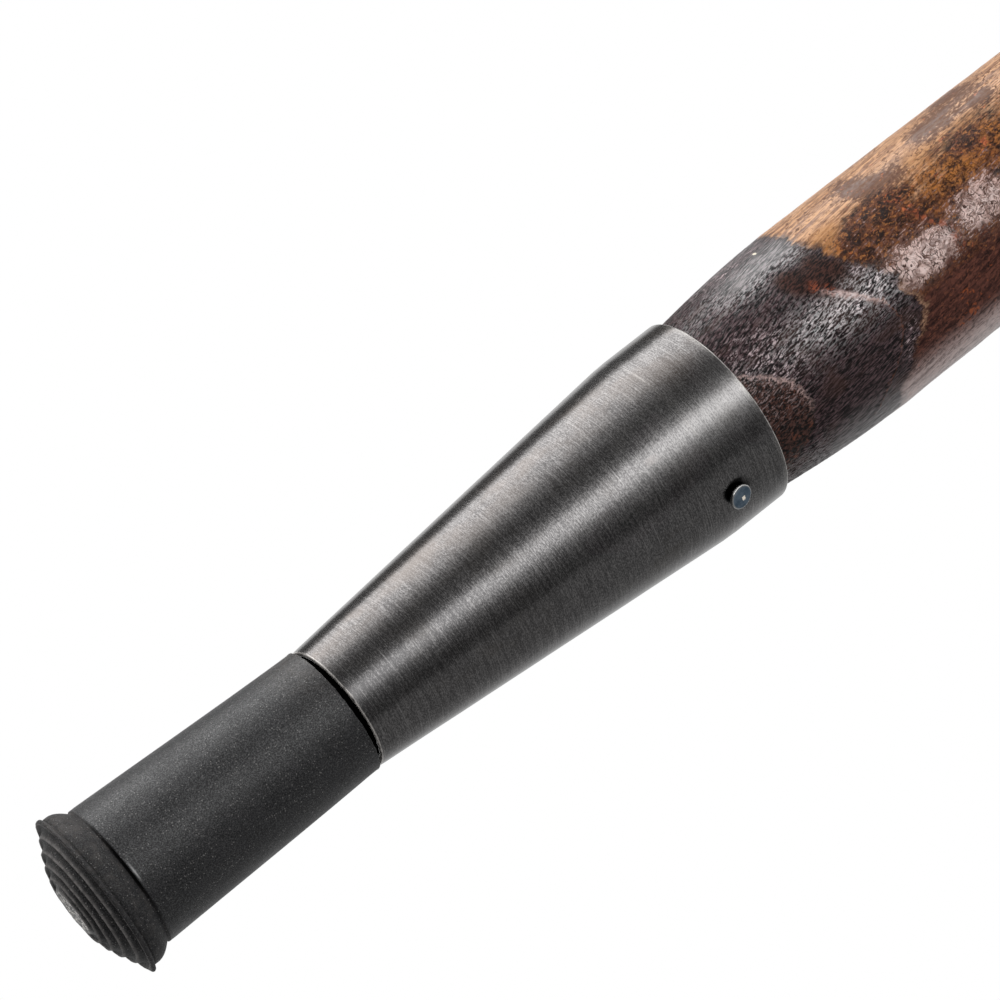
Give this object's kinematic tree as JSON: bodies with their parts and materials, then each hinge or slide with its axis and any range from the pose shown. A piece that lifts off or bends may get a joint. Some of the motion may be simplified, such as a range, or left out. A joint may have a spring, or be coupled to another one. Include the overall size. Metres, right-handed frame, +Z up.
{
  "type": "hiking staff",
  "caption": "Natural hardwood hiking staff with a nailed tapered steel ferrule, a steel spike and a pull-off rubber cap with a ringed domed tread.",
  "frame": {"origin": "middle of the rubber tread, where the staff meets the ground", "axes": "+Z up the staff, +X towards one ferrule nail, -Y towards the front eyelet of the strap hole"},
  "size_m": [0.0382, 0.0346, 1.22],
  "materials": {
    "wood": "lacquered over bark and rasped wood",
    "ferrule_steel": "dark, brushed round",
    "turned_steel": "turned",
    "hard_steel": "hardened, dark",
    "zinc": "zinc plated",
    "rubber": "matt, moulded",
    "brass": "aged"
  },
  "bodies": {
    "staff": {"shaft": "wood", "ferrule_sleeve": "ferrule_steel", "ferrule_plug": "turned_steel", "spike": "hard_steel", "ferrule_nails": "zinc", "strap_eyelet_front": "brass", "strap_eyelet_back": "brass"},
    "cap": {"rubber_cap": "rubber", "cap_disc": "turned_steel"}
  },
  "joints": [
    {"name": "cap_pull", "type": "slide", "parent": "staff", "child": "cap", "axis": [0, 0, -1], "range_m": [0, 0.05]}
  ]
}
